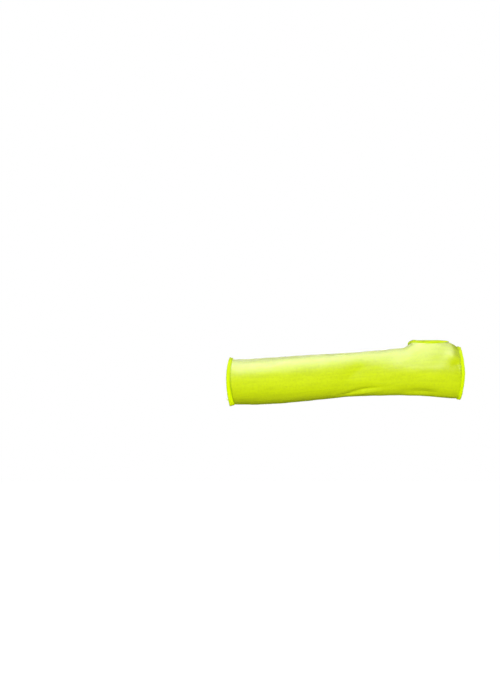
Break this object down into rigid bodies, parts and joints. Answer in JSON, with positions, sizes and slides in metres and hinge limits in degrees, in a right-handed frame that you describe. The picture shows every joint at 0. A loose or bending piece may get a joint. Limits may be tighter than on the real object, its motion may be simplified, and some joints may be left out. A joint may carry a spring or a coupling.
{
  "type": "cut resistant sleeve",
  "caption": "Knitted protective sleeve for forearm and hand, held in its worn shape, with overlocked ends and a thumb slot.",
  "frame": {"origin": "middle of the elbow opening, where the wearer's arm comes out of the sleeve", "axes": "+X runs from the elbow to the fingers, +Z is the thumb side, +Y is the palm side of a right hand"},
  "size_m": [0.3499, 0.0767, 0.0988],
  "materials": {
    "knit": "matte fluorescent yellow knit",
    "overlock_thread": "matte fluorescent yellow thread"
  },
  "bodies": {
    "root": {"knit_tube": "knit", "elbow_hem": "overlock_thread", "hand_hem": "overlock_thread", "thumb_hem": "overlock_thread"}
  },
  "joints": []
}
